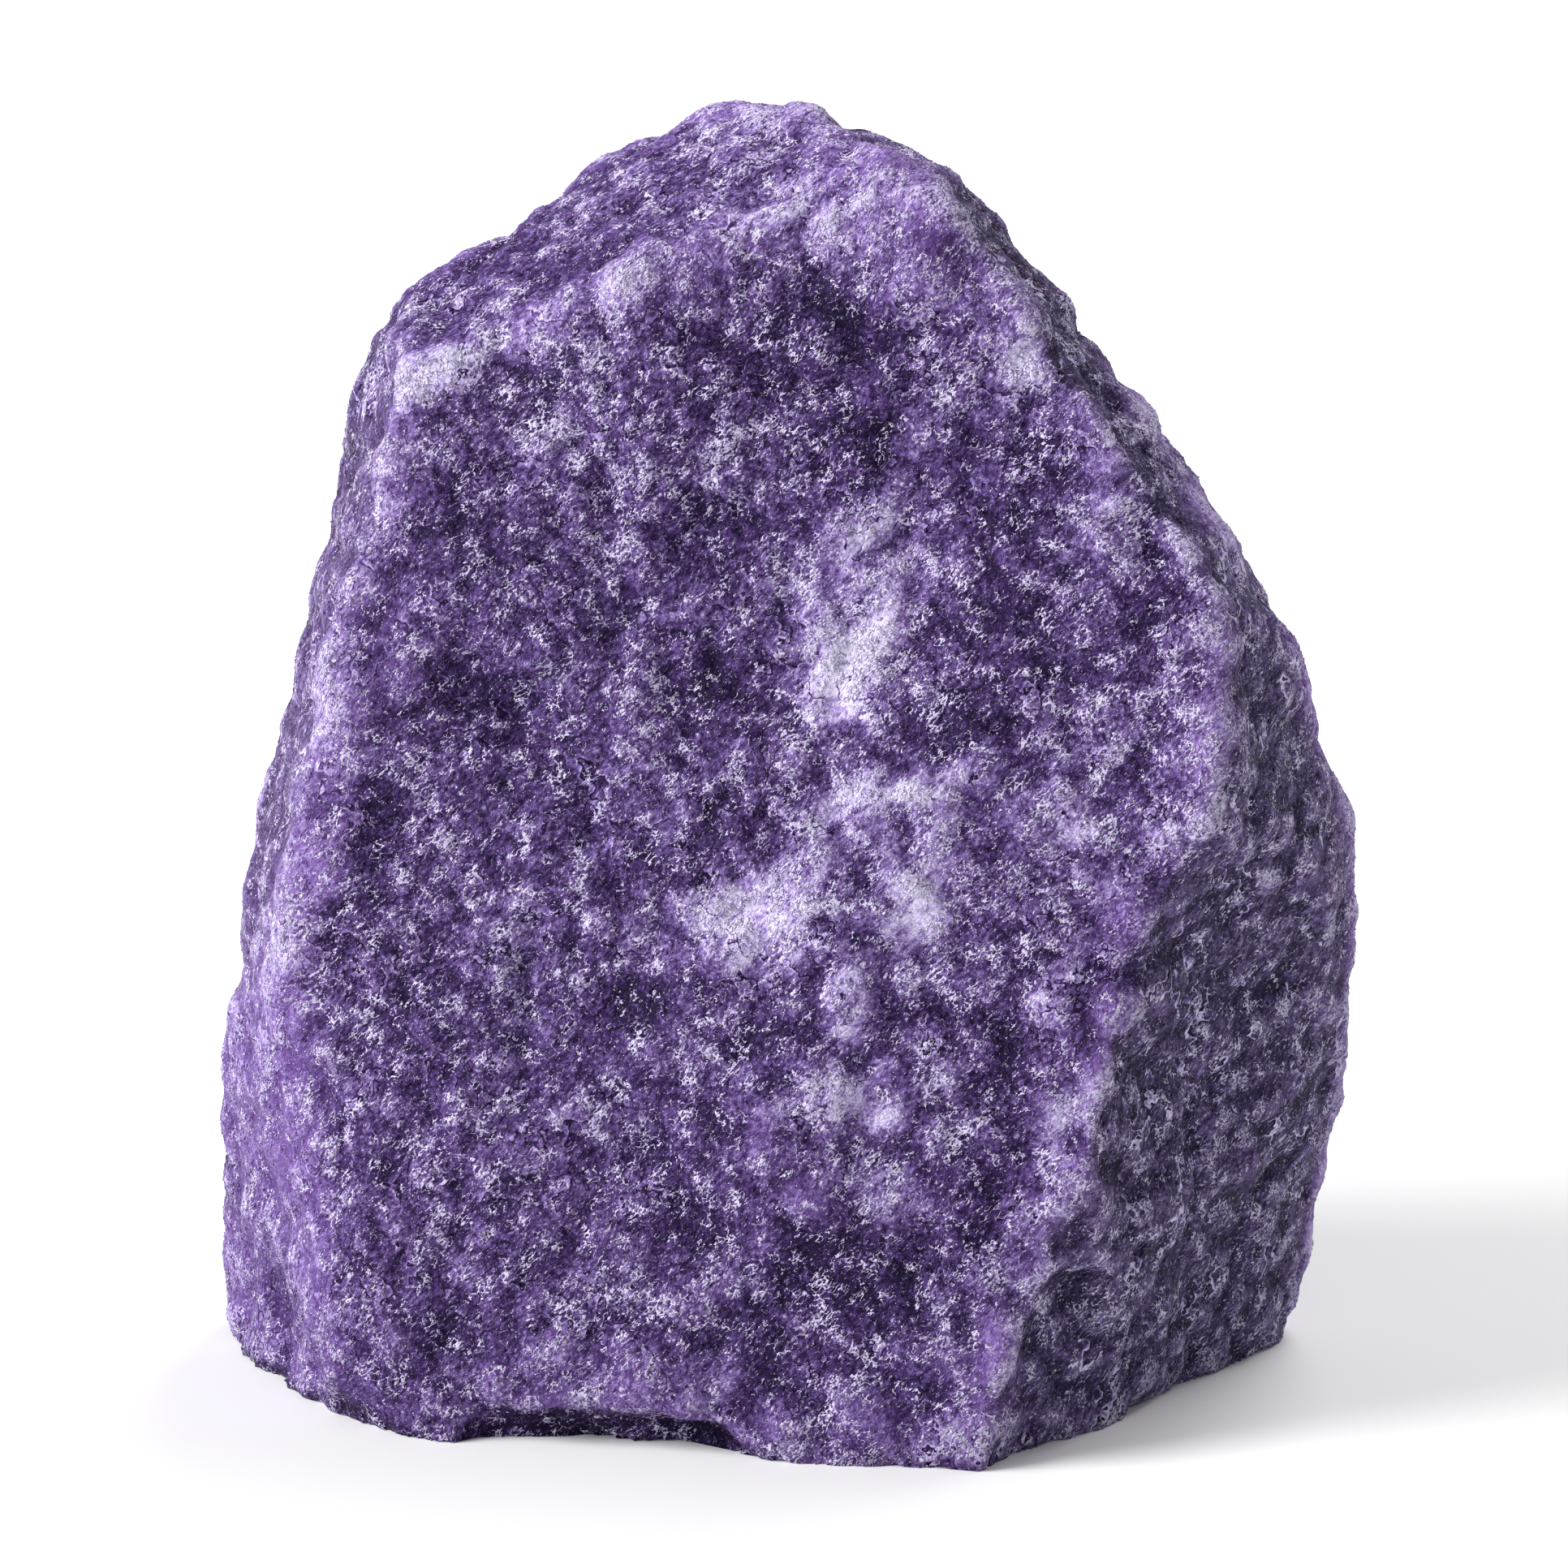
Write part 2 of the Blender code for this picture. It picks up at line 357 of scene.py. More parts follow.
# Pale and dark places of the front, on the plane that faces the camera: right and up from the
# middle of the picture, half length, half width, turn, and strength (dark ones are negative).
patches = (
    # broad clouds down the middle, on the brow and at its left end
    (3, 8, 4.6, 2.4, 70, 0.55),
    (6.5, -1.5, 5.2, 2.6, 10, 0.5),
    (0, -6.5, 4.4, 2.2, -38, 0.5),
    (5.5, -6, 2.4, 3.4, -20, 0.35),
    (3, -13.5, 4.4, 2.2, -5, 0.4),
    (2, 26, 5, 2, 0, 0.5),
    (0, 30.5, 6, 1.6, 5, 0.5),
    (-16, 19, 4, 1.6, 15, 0.4),
    # along the right-hand ridge and on the lobes behind it: partly paler rock, partly painted glow along the
    # ridge and painted light on the lobes
    (15, 12.5, 1.6, 3.4, 25, 0.7),
    (11.5, 19.5, 1.4, 3, 35, 0.6),
    (17.5, 6, 1.3, 2.4, 10, 0.5),
    (17.2, 15.5, 1.3, 3, 25, 1.1),
    (20.3, 10, 1.2, 3, 25, 1),
    (13.6, 20.8, 1.1, 3, 40, 0.7),
    (12.6, -9.3, 1.9, 1, 60, 1.3),
    (13, -15.4, 2, 1.1, 55, 1.3),
    (11, -20, 1.8, 0.9, 60, 0.8),
    (15, -4.5, 2, 1, 60, 0.8),
    # heaps of sugar along the brow
    (3, 27, 2.8, 1, 12, 1),
    (-7.5, 23, 1.8, 0.9, 40, 0.9),
    (-1.5, 25.5, 1.7, 1.1, 60, 0.6),
    (-16, 19, 2.3, 1, 10, 1),
    (-12, 20.5, 2.8, 0.6, 25, 0.7),
    (11, 20, 1.4, 2.2, 0, 0.9),
    # heaps of sugar down the middle
    (5.5, 15, 1.1, 2.6, -25, 0.5),
    (4, 11.5, 1.6, 1.6, 0, 0.8),
    (5.5, 8.5, 1.5, 2.6, -15, 0.7),
    (3, 5.5, 2.3, 1.8, 30, 1.3),
    (0.5, 8.5, 1.7, 0.8, 10, 0.6),
    (3, 3.5, 2.2, 1.3, -30, 0.55),
    (3.5, -0.5, 2.4, 1, 12, 1),
    (7, 0, 2.8, 0.8, 15, 0.6),
    (1.5, -3.5, 1.5, 2.3, -25, 0.8),
    (6, -5.5, 1.4, 2.3, -30, 1.2),
    (-1.5, -7, 2.3, 1.8, 35, 1.05),
    (-4, -5.5, 2.6, 0.9, -10, 0.55),
    (3, -10.5, 1.2, 1.4, 0, 1.15),
    (1.5, -14.5, 2.3, 0.9, 8, 0.85),
    (4.5, -15, 1.7, 0.8, -15, 0.7),
    # smaller ones towards the right-hand ridge
    (13, -2.5, 1.1, 1.6, -20, 1.1),
    (14, 1, 1.7, 2.2, -20, 0.5),
    (17, -2, 1.3, 1.3, 0, 0.45),
    (5, -18.5, 2.3, 1.8, 0, 0.55),
    # scattered over the left half and the foot
    (-11, 15.5, 1.5, 1, 20, 0.55),
    (-4, 14, 1.3, 1, 0, 0.4),
    (-4.5, 8, 1.6, 0.9, 0, 0.45),
    (-14, 6, 1.7, 1.3, 0, 0.4),
    (-7.5, 1.5, 1.3, 1.3, 0, 0.35),
    (-5.5, -2, 1.3, 1, 40, 0.5),
    (-12, -6, 1.4, 1.4, 0, 0.4),
    (-7, -7.5, 1.6, 1, 30, 0.5),
    (-15, -8, 1.1, 1.6, -20, 0.35),
    (-10, -16, 3, 1, 10, 0.35),
    (-9, -26, 2, 1.6, -30, 0.4),
    (-3.5, -28, 1.4, 1.4, 0, 0.6),
    (7.5, -30, 1.6, 1, 20, 0.5),
    # down the left edge
    (-21, 4.5, 1, 2.3, -12, 0.7),
    (-18.5, 12, 0.7, 3.3, -12, 0.5),
    (-23, -6.5, 1.5, 2.3, -10, 0.35),
    (-24, -10.5, 1.2, 2.8, 0, 0.45),
    (-22, -21, 1.4, 2, 30, 0.5),
    # dark places
    (2.5, 21, 2.5, 1.8, 0, -0.8),
    (3, 15, 2, 1.8, 0, -0.9),
    (-3, 18, 1.5, 1.7, 0, -0.5),
    (-4, 12.5, 3, 1.5, 0, -0.5),
    (-3.5, 4.5, 1.8, 1.6, 0, -0.8),
    (-3, -1.5, 1.6, 1.6, 0, -0.7),
    (-11.5, 18, 1.3, 1, 10, -0.8),
    (-15, 11, 2, 1.8, 0, -0.6),
    (-14, 4, 2.2, 1.3, -20, -0.6),
    (-19, -2, 1.6, 2.2, 0, -0.6),
    (-19.5, -6.5, 1.8, 1.5, 0, -0.8),
    (-16.5, -10, 1.8, 1.3, 0, -0.5),
    (-7, -10, 2.2, 1.5, 0, -0.7),
    (9, 8, 1.6, 1.4, 0, -0.8),
    (10.5, 12, 1.6, 1.7, 0, -0.6),
    (12, 15, 1.8, 1.2, -30, -0.6),
    (12, 6.5, 1.3, 2.2, -20, -0.5),
    (8, 3, 3, 1.3, 15, -0.8),
    (11.5, -8.5, 1.4, 1.4, 0, -0.7),
    (10.5, -12.5, 1.8, 2.3, 0, -0.8),
    (-1, -12, 1.6, 1, 0, -0.7),
    (3, -22.5, 4.1, 2.2, -20, -1),
    (-1.5, -25.5, 1.8, 1.4, 0, -0.6),
    (8.5, -19.5, 1.4, 2.2, 30, -0.7),
    (-4.5, -18.5, 1.8, 3, -15, -0.45),
    (-16, -25.5, 1.6, 1.8, 0, -0.5),
    (17, 7.5, 1.5, 1.6, 0, -0.7),
    (-0.5, 20, 1.6, 3, 0, -0.5),
    (-6, -3.5, 1.4, 1.4, 0, -0.4),
    (-11.5, 1, 2.2, 1, -20, -0.5),
)
fraying = {
    "fray": 0.55, "fraySize": 2.2, "fraySeeds": (61, 71),    # how far noise shifts a patch's rim
    "firmness": 1.3,    # 1 fades like a cloud, more has a firmer rim
    "seen": (0.05, 0.3),    # between these a face turns from hidden to seen
    "wildStrength": 0.7, "wildSize": 5.5, "wildSeed": 81,    # of the patches on hidden faces
}


# Where a point shows in the picture: right and up on the plane through the target, seen from
# the camera at its distance d, both times d / (d - depth towards the camera).
def picturePlace(points):
    tilt = math.radians(view["elevation"])
    away = points - np.array(view["target"])
    towards = -away[:, 1] * math.cos(tilt) + away[:, 2] * math.sin(tilt)
    up = away[:, 2] * math.cos(tilt) + away[:, 1] * math.sin(tilt)
    grown = view["distance"] / (view["distance"] - towards)
    return away[:, 0] * grown, up * grown


# Paleness of the rock: each patch adds strength * exp(-q^(2 firmness)), q the distance in half axes
# of its ellipse, its rim frayed by noise. Hidden faces get patches out of noise alone.
def paleness(points, normals):
    right, up = picturePlace(points)
    noises = [cloudNoise(points, fraying["fraySize"], seed) for seed in fraying["fraySeeds"]]
    fray = np.stack(noises, axis=1) * fraying["fray"]
    total = np.zeros(len(points))
    for x, y, length, width, turn, strength in patches:
        angle = math.radians(turn)
        across = right + fray[:, 0] - x
        above = up + fray[:, 1] - y
        along = (across * math.cos(angle) + above * math.sin(angle)) / length
        beside = (above * math.cos(angle) - across * math.sin(angle)) / width
        total += strength * np.exp(-((along**2 + beside**2) ** fraying["firmness"]))
    seen = smoothStep(normals @ looking(0, view["elevation"]), *fraying["seen"])
    wild = fraying["wildStrength"] * cloudNoise(points, fraying["wildSize"], fraying["wildSeed"])
    return total * seen + wild * (1 - seen)


# Points and a list of face arrays, each with one number of corners, as a Blender mesh.
def newMesh(name, points, faces):
    mesh = bpy.data.meshes.new(name)
    mesh.vertices.add(len(points))
    mesh.vertices.foreach_set("co", np.asarray(points, np.float32).ravel())
    sizes = np.concatenate([np.full(len(part), part.shape[1]) for part in faces])
    corners = np.concatenate([part.ravel() for part in faces])
    mesh.loops.add(len(corners))
    mesh.loops.foreach_set("vertex_index", corners.astype(np.int32))
    mesh.polygons.add(len(sizes))
    mesh.polygons.foreach_set("loop_start", (np.cumsum(sizes) - sizes).astype(np.int32))
    mesh.update(calc_edges=True)
    mesh.validate()
    return mesh


# One number for each point, which the material reads by its name.
def setField(mesh, name, values):
    mesh.attributes.new(name, "FLOAT", "POINT").data.foreach_set("value", values.astype(np.float32))


# Puts a mesh in the scene and fixes it to the stone's body.
def addPiece(name, mesh, material):
    piece = bpy.data.objects.new(name, mesh)
    bpy.context.scene.collection.objects.link(piece)
    mesh.materials.append(material)
    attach(piece, "root")
    return piece


# sRGB numbers of a colour, 0 to 255, as the linear values that the shader wants.
def paint(red, green, blue):
    values = [c / 255 for c in (red, green, blue)]
    return [c / 12.92 if c <= 0.04045 else ((c + 0.055) / 1.055) ** 2.4 for c in values] + [1]


# A node of a kind, its inputs set to values or linked from other nodes' outputs.
def put(tree, kind, inputs=None, **settings):
    made = tree.nodes.new("ShaderNode" + kind)
    for key, value in settings.items():
        setattr(made, key, value)
    for key, value in (inputs or {}).items():
        if isinstance(value, bpy.types.NodeSocket):
            tree.links.new(value, made.inputs[key])
        else:
            made.inputs[key].default_value = value
    return made


# Arithmetic on numbers.
def figure(tree, way, *values, clamp=False):
    return put(tree, "Math", dict(enumerate(values)), operation=way, use_clamp=clamp).outputs[0]


# Arithmetic on vectors; a scale goes in by its name.
def vectorFigure(tree, way, inputs):
    return put(tree, "VectorMath", inputs, operation=way).outputs[0]


# Smooth step of a value from low to high, between bottom and top.
def ease(tree, value, low, high, bottom=0.0, top=1.0):
    ends = {"Value": value, "From Min": low, "From Max": high, "To Min": bottom, "To Max": top}
    return put(tree, "MapRange", ends, interpolation_type="SMOOTHSTEP").outputs[0]


# first * (1 - share) + second * share.
def mixColour(tree, share, first, second):
    return put(tree, "Mix", {0: share, 6: first, 7: second}, data_type="RGBA").outputs[2]


# Noise whose waves are size millimetres long.
def noise(tree, place, size, detail, rough):
    ends = {"Vector": place, "Scale": 1 / size, "Detail": detail, "Roughness": rough}
    return put(tree, "TexNoise", ends)


# Colour at a share from 0 to 1, between stops of place and colour.
def colourRamp(tree, share, stops):
    ramp = put(tree, "ValToRGB", {0: share})
    ramp.color_ramp.elements[0].position, ramp.color_ramp.elements[0].color = stops[0]
    ramp.color_ramp.elements[1].position, ramp.color_ramp.elements[1].color = stops[-1]
    for position, colour in stops[1:-1]:
        ramp.color_ramp.elements.new(position).color = colour
    return ramp.outputs[0]


# A number that the mesh carries at each point.
def field(tree, name):
    return put(tree, "Attribute", attribute_name=name).outputs["Fac"]


# Object coordinates in millimetres.
def millimetres(tree):
    coords = put(tree, "TexCoord").outputs["Object"]
    return vectorFigure(tree, "SCALE", {0: coords, "Scale": 1 / mm})


# An empty node group with its sockets, its given values and its wanted ones.
def newGroup(name, inputs, outputs):
    tree = bpy.data.node_groups.new(name, "ShaderNodeTree")
    for label, kind in inputs:
        tree.interface.new_socket(label, in_out="INPUT", socket_type="NodeSocket" + kind)
    for label, kind in outputs:
        tree.interface.new_socket(label, in_out="OUTPUT", socket_type="NodeSocket" + kind)
    return tree, tree.nodes.new("NodeGroupInput").outputs, tree.nodes.new("NodeGroupOutput").inputs


# The rock's colours and finish. A noise is its size, detail and roughness.
rock = {
    # place on the ramp and colour, from the creases, whose dark is partly painted shade, to the mica
    "violets": (
        (0.08, paint(26, 11, 47)),
        (0.19, paint(42, 23, 69)),
        (0.32, paint(66, 43, 97)),
        (0.46, paint(98, 74, 133)),
        (0.61, paint(136, 112, 172)),
        (0.78, paint(182, 162, 218)),
        (1.0, paint(226, 216, 248)),
    ),
    # the same where the rock is grey, which is partly painted sheen
    "slates": (
        (0.0, paint(26, 20, 38)),
        (0.25, paint(52, 45, 66)),
        (0.5, paint(86, 78, 106)),
        (0.75, paint(138, 127, 162)),
        (1.0, paint(214, 206, 234)),
    ),
    "rampTop": 1.25,    # the level that is the ramps' far end
    "slateShare": 0.45,    # of slate where the grey is full
    "paintedGlow": paint(126, 87, 168),    # painted glow along the crests, of light through their thin edges
    "glowLevels": (1.15, 0.5), "glowShares": (0.15, 0.75),    # from the mica down to the dark ground
    "grain": (0, -45, 0),    # turn of the mica's grain
    "grit": (0.24, 3, 0.8), "gritStretch": 0.6, "gritLift": 1.7,
    "streak": (1.0, 3, 0.65), "streakStretch": 0.25, "streakLift": 1.8,
    "greyStreaks": 0.3,    # of full streaks where the rock is grey
    "roughness": 0.45,
    "shine": 0.1,
    "bumpDepth": 0.17, "strokeHeight": 0.35, "ledgeHeight": 0.6,    # the heights are shares of the depth
    "lean": 0.8,    # of the strokes' normals
}


# Place turned along the mica's grain and pressed together along it, so that what is drawn there
# comes out stretched.
def stroked(tree, place, stretch):
    turn = tuple(math.radians(angle) for angle in rock["grain"])
    ends = {"Vector": place, "Rotation": turn, "Scale": (1 / stretch, 1, 1)}
    return put(tree, "Mapping", ends, vector_type="TEXTURE").outputs[0]


# Colour of the rock: a ramp from dark to sugar over the level, which is the skin's level with its painted
# light and shade, plus grit plus the lift of strokes, ledges and flakes, with feathery streaks where it is
# pale or grey; then painted glow along the crests and slate, partly painted sheen, on the grey faces. Height
# is the grit's relief.
def rockToneGroup():
    tree, given, wanted = newGroup(
        "rock tone",
        [("Place", "Vector")] + [(label, "Float") for label in ("Level", "Lift", "Pale", "Crest", "Grey")],
        [("Color", "Color"), ("Height", "Float")],
    )
    grit = noise(tree, stroked(tree, given["Place"], rock["gritStretch"]), *rock["grit"]).outputs[0]
    level = figure(tree, "MULTIPLY_ADD", grit, rock["gritLift"], given["Level"])
    level = figure(tree, "ADD", level, given["Lift"])
    streak = noise(tree, stroked(tree, given["Place"], rock["streakStretch"]), *rock["streak"]).outputs[0]
    pale = figure(tree, "MAXIMUM", given["Pale"], 0.0)
    reach = figure(tree, "MULTIPLY_ADD", given["Grey"], rock["greyStreaks"], pale)
    streak = figure(tree, "MULTIPLY", figure(tree, "SUBTRACT", streak, 0.5), reach)
    level = figure(tree, "MULTIPLY_ADD", streak, rock["streakLift"], level)
    share = figure(tree, "DIVIDE", level, rock["rampTop"])
    ground = colourRamp(tree, share, rock["violets"])
    paintedGlow = ease(tree, level, *rock["glowLevels"], *rock["glowShares"])
    ground = mixColour(tree, figure(tree, "MULTIPLY", given["Crest"], paintedGlow), ground, rock["paintedGlow"])
    slate = colourRamp(tree, share, rock["slates"])
    ground = mixColour(tree, figure(tree, "MULTIPLY", given["Grey"], rock["slateShare"]), ground, slate)
    tree.links.new(ground, wanted["Color"])
    tree.links.new(grit, wanted["Height"])
    return tree


# The mica strokes, pale and partly painted glints. A noise is its size, detail and roughness.
strokes = {
    "lift": 1.9,    # of the level under a stroke
    "curls": (0.23, 2, 0.6),    # the strokes follow this noise's middle line
    "stretch": 0.55,    # width over length
    "width": (0.016, 0.075),    # with no sugar, and what full sugar adds
    "edge": (1.0, 0.3),    # of half the width: where a stroke begins, and where it is full
    "clumps": (0.8, 1, 0.5), "clumpDepth": 2.5,    # heap the sugar up
    "gaps": (0.15, 1, 0.5), "gapEdge": (0.47, 0.64), "gapFill": 0.35,    # break the strokes up
}


# Mica strokes: thin curls along the middle line of a noise, |n - 1/2| < width, stretched along the
# grain and broken up by a second noise; the more sugar, the wider and the less broken they are.
def speckGroup():
    tree, given, wanted = newGroup(
        "mica specks",
        [("Place", "Vector"), ("Amount", "Float")],
        [("Mask", "Float"), ("Lean", "Vector")],
    )
    clump = noise(tree, given["Place"], *strokes["clumps"]).outputs[0]
    clump = figure(tree, "MULTIPLY", figure(tree, "SUBTRACT", clump, 0.5), strokes["clumpDepth"])
    amount = figure(tree, "ADD", given["Amount"], clump, clamp=True)
    place = stroked(tree, given["Place"], strokes["stretch"])
    curls = noise(tree, place, *strokes["curls"])
    away = figure(tree, "ABSOLUTE", figure(tree, "SUBTRACT", curls.outputs[0], 0.5))
    thin, wider = strokes["width"]
    width = figure(tree, "MULTIPLY_ADD", amount, wider, thin)
    curl = ease(tree, figure(tree, "DIVIDE", away, width), *strokes["edge"])
    gap = noise(tree, place, *strokes["gaps"]).outputs[0]
    whole = ease(tree, figure(tree, "MULTIPLY_ADD", amount, strokes["gapFill"], gap), *strokes["gapEdge"])
    tree.links.new(figure(tree, "MULTIPLY", curl, whole), wanted["Mask"])
    lean = vectorFigure(tree, "SUBTRACT", {0: curls.outputs[1], 1: (0.5, 0.5, 0.5)})
    tree.links.new(lean, wanted["Lean"])
    return tree


# The cracked ledges. A noise is its size, detail and roughness. A span, in shares of a step, goes
# from where a mark is missing to where it is full.
ledges = {
    "steps": 9,
    "broad": (4.5, 4, 0.6),    # its steps are the ledges
    "lengths": (2.6, 2, 0.5), "lengthEdge": (0.53, 0.6),    # keep short lengths of each crack
    "crackUp": (0.0, 0.02), "crackDown": (0.12, 0.04),
    "rimUp": (0.07, 0.13), "rimDown": (0.4, 0.12),
    "slope": (0.05, 1.0),    # where a ledge's height falls from 1 to 0
    "crackLift": -0.7, "rimLift": 0.3, "greyRimLift": 0.5,    # of the level: painted shade in the cracks, painted highlight on the rims; the last where it is grey
}


# Cracked ledges: steps of a broad noise, s = fraction of noise * steps. Where s starts anew lies a
# thin crack of painted shade with a painted highlight on the rim beside it, and a second noise leaves only
# short lengths of it.
def ledgeGroup():
    tree, given, wanted = newGroup(
        "cracked ledges",
        [("Place", "Vector")],
        [("Crack", "Float"), ("Rim", "Float"), ("Height", "Float")],
    )
    broad = noise(tree, given["Place"], *ledges["broad"]).outputs[0]
    step = figure(tree, "FRACT", figure(tree, "MULTIPLY", broad, ledges["steps"]))
    length = ease(tree, noise(tree, given["Place"], *ledges["lengths"]).outputs[0], *ledges["lengthEdge"])
    for label in ("Crack", "Rim"):
        up = ease(tree, step, *ledges[label.lower() + "Up"])
        down = ease(tree, step, *ledges[label.lower() + "Down"])
        mark = figure(tree, "MULTIPLY", down, up)
        tree.links.new(figure(tree, "MULTIPLY", mark, length), wanted[label])
    slope = ease(tree, step, *ledges["slope"], 1.0, 0.0)
    tree.links.new(figure(tree, "MULTIPLY", slope, length), wanted["Height"])
    return tree


# The rock's material: ground and strokes, with the strokes' own leaning normals for glints. On the
# flakes each one's tone lifts or sinks the whole colour.
def rockMaterial(name, roughness, shine, toneLift=0, toneBase=0):
    material = bpy.data.materials.new(name)
    material.use_nodes = True
    tree = material.node_tree
    groups = bpy.data.node_groups
    place = millimetres(tree)
    sugar = field(tree, "sugar")
    speck = put(tree, "Group", {"Place": place, "Amount": sugar}, node_tree=groups["mica specks"]).outputs
    ledge = put(tree, "Group", {"Place": place}, node_tree=groups["cracked ledges"]).outputs
    # the strokes lift the level: pale mica, partly painted glints
    lift = figure(tree, "MULTIPLY", speck["Mask"], strokes["lift"])
    # painted highlight on the ledges' rims, stronger where grey, and painted shade in their cracks
    rimLift = figure(tree, "MULTIPLY_ADD", field(tree, "grey"), ledges["greyRimLift"], ledges["rimLift"])
    lift = figure(tree, "MULTIPLY_ADD", ledge["Rim"], rimLift, lift)
    lift = figure(tree, "MULTIPLY_ADD", ledge["Crack"], ledges["crackLift"], lift)
    if toneLift:
        own = figure(tree, "MULTIPLY", field(tree, "tone"), figure(tree, "ADD", sugar, toneBase))
        lift = figure(tree, "MULTIPLY_ADD", own, toneLift, lift)
    ends = {"Place": place, "Lift": lift}
    for label in ("Level", "Pale", "Crest", "Grey"):
        ends[label] = field(tree, label.lower())
    tone = put(tree, "Group", ends, node_tree=groups["rock tone"]).outputs
    height = figure(tree, "MULTIPLY_ADD", speck["Mask"], rock["strokeHeight"], tone["Height"])
    height = figure(tree, "MULTIPLY_ADD", ledge["Height"], rock["ledgeHeight"], height)
    bump = put(tree, "Bump", {"Height": height, "Distance": rock["bumpDepth"] * mm}).outputs[0]
    lean = vectorFigure(tree, "SCALE", {0: speck["Lean"], "Scale": rock["lean"]})
    normal = vectorFigure(tree, "NORMALIZE", {0: vectorFigure(tree, "ADD", {0: bump, 1: lean})})
    shader = tree.nodes["Principled BSDF"]
    tree.links.new(tone["Color"], shader.inputs["Base Color"])
    tree.links.new(normal, shader.inputs["Normal"])
    shader.inputs["Roughness"].default_value = roughness
    shader.inputs["Specular IOR Level"].default_value = shine
    return material


# How the skin's fields follow its form. Each span is where something begins and where it is full.
skin = {
    # rounds of averaging that leave the broad form, the middling and the fine one
    "broad": 110, "middling": 25, "near": 4,
    "bumpHeight": 0.035, "bumpMost": 2,    # height over the near form that counts as 1, and the most
    "blotch": (2.2, 91, 3),    # size, seed and octaves of the noise
    "heap": (1.15, 95, 2),
    "patchy": (4, 99, 3), "patchySpan": (-0.7, 0.5), "patchyLeast": 0.35,    # fades the crests here and there
    "footSpan": (0.4, 2),    # height over the floor
    "crestSpan": (0.15, 1), "rimSpan": (0.1, 0.6),    # height over the broad form
    "shoulderSpan": (0.15, 0.5),    # of how far a grey face looks up
    "underSpan": (0.25, 0.6), "underLeft": (-6, 2),    # of how far a face looks down, and lies left
    # azimuth and tilt that the left foot and the far right face, and span of how far they do; both are
    # painted lit and glowing
    "leftFoot": (-60, -8, 0.75, 0.97),
    "farRight": (95, 0, 0.86, 0.97),
    "palestFrom": 0.6,    # paleness past which a patch turns whiter still
    "paleRight": 0.7,    # of its paleness that the grey right loses
    "greyFarRight": 0.7,    # of its grey that the far right loses
    "greyLeft": 0.7,    # of full grey that the left strip has
    # what each sign adds to the level and to the sugar. In the level, painted light and shade: bumps lighter
    # and creases darker, in part; crests and rims lighter, in part; the lobes, the far right and the left
    # foot lighter; the right faces, their shoulders and the undersides on the left darker
    "level": {
        "base": -0.41, "pale": 0.3, "palest": 0.25, "blotch": 0.06, "bump": 0.08, "greyBump": 0.04,
        "heap": 0.09, "crest": 0.19, "rim": 0.1, "right": -0.03, "shoulder": -0.1, "leftStrip": -0.06,
        "lobes": 0.35, "farRight": 0.12, "leftFoot": 0.1, "paintedUnderShade": -0.3,
    },
    "sugar": {
        "base": 0.1, "heap": 0.4, "blotch": 0.12, "pale": 0.2, "bump": 0.08, "greyBump": 0.08,
        "right": -0.06,
    },
    "sugarMost": 0.9,
    # painted glow on the left foot, the far right and the lobes, besides the crests
    "paintedGlow": {"leftFoot": 0.5, "farRight": 0.6, "lobes": 0.8},
}


# How far normals are turned to an azimuth and tilt: smooth step of normal . that way.
def turnedTo(normals, azimuth, tilt, low, high):
    return smoothStep(normals @ looking(azimuth, tilt), low, high)


# Sum of weight * sign over the weights.
def weighed(weights, signs):
    return sum(weight * signs[sign] for sign, weight in weights.items())


